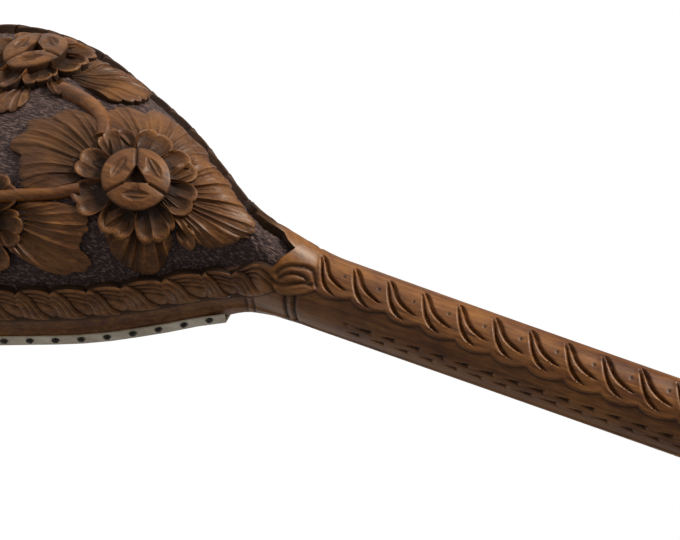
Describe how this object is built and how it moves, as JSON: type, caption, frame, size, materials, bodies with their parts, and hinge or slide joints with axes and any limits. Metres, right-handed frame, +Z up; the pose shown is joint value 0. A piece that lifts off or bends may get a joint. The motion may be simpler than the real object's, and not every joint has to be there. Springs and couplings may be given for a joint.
{
  "type": "gusle",
  "caption": "One-stringed bowed folk fiddle with a carved wooden bowl, skin belly, bridge, horsehair string and tuning peg in a horse-headed neck.",
  "frame": {"origin": "on the flat front of the neck, in its middle, just under the peg box, where a stand's bar or a hanger takes the neck", "axes": "+Z runs up the neck to the head; the skin and the string face -Y and the carved back +Y; +X is the side of the peg's handle"},
  "size_m": [0.205, 0.144, 0.7636],
  "materials": {
    "maple": "varnished",
    "skin": "matt",
    "iron": "dark",
    "hair": "silky",
    "pale_wood": "oiled",
    "cord": "matt"
  },
  "bodies": {
    "body": {"carved_body": "maple", "skin_belly": "skin", "tail_button": "pale_wood", "tail_loop": "cord", "string": "hair", "rim_nail_01": "iron", "rim_nail_02": "iron", "rim_nail_03": "iron", "rim_nail_04": "iron", "rim_nail_05": "iron", "rim_nail_06": "iron", "rim_nail_07": "iron", "rim_nail_08": "iron", "rim_nail_09": "iron", "rim_nail_10": "iron", "rim_nail_11": "iron", "rim_nail_12": "iron", "rim_nail_13": "iron", "rim_nail_14": "iron", "rim_nail_15": "iron", "rim_nail_16": "iron", "rim_nail_17": "iron", "rim_nail_18": "iron", "rim_nail_19": "iron", "rim_nail_20": "iron", "rim_nail_21": "iron", "rim_nail_22": "iron", "rim_nail_23": "iron", "rim_nail_24": "iron", "rim_nail_25": "iron", "rim_nail_26": "iron", "rim_nail_27": "iron", "rim_nail_28": "iron", "rim_nail_29": "iron", "rim_nail_30": "iron", "rim_nail_31": "iron", "rim_nail_32": "iron", "rim_nail_33": "iron", "rim_nail_34": "iron", "rim_nail_35": "iron", "rim_nail_36": "iron", "rim_nail_37": "iron", "rim_nail_38": "iron", "rim_nail_39": "iron", "rim_nail_40": "iron", "rim_nail_41": "iron", "rim_nail_42": "iron", "rim_nail_43": "iron", "rim_nail_44": "iron", "rim_nail_45": "iron", "rim_nail_46": "iron", "rim_nail_47": "iron", "rim_nail_48": "iron", "rim_nail_49": "iron", "rim_nail_50": "iron"},
    "peg": {"tuning_peg": "maple", "string_winding": "hair"},
    "bridge": {"bridge": "pale_wood"}
  },
  "joints": [
    {"name": "peg_turn", "type": "hinge", "parent": "body", "child": "peg", "pos_m": [0, 0.0035, 0.058], "axis": [1, 0, 0], "continuous": true, "deforming": ["string"]},
    {"name": "bridge_slide", "type": "slide", "parent": "body", "child": "bridge", "axis": [0, 0, 1], "range_m": [-0.005, 0.005], "deforming": ["string"]}
  ]
}
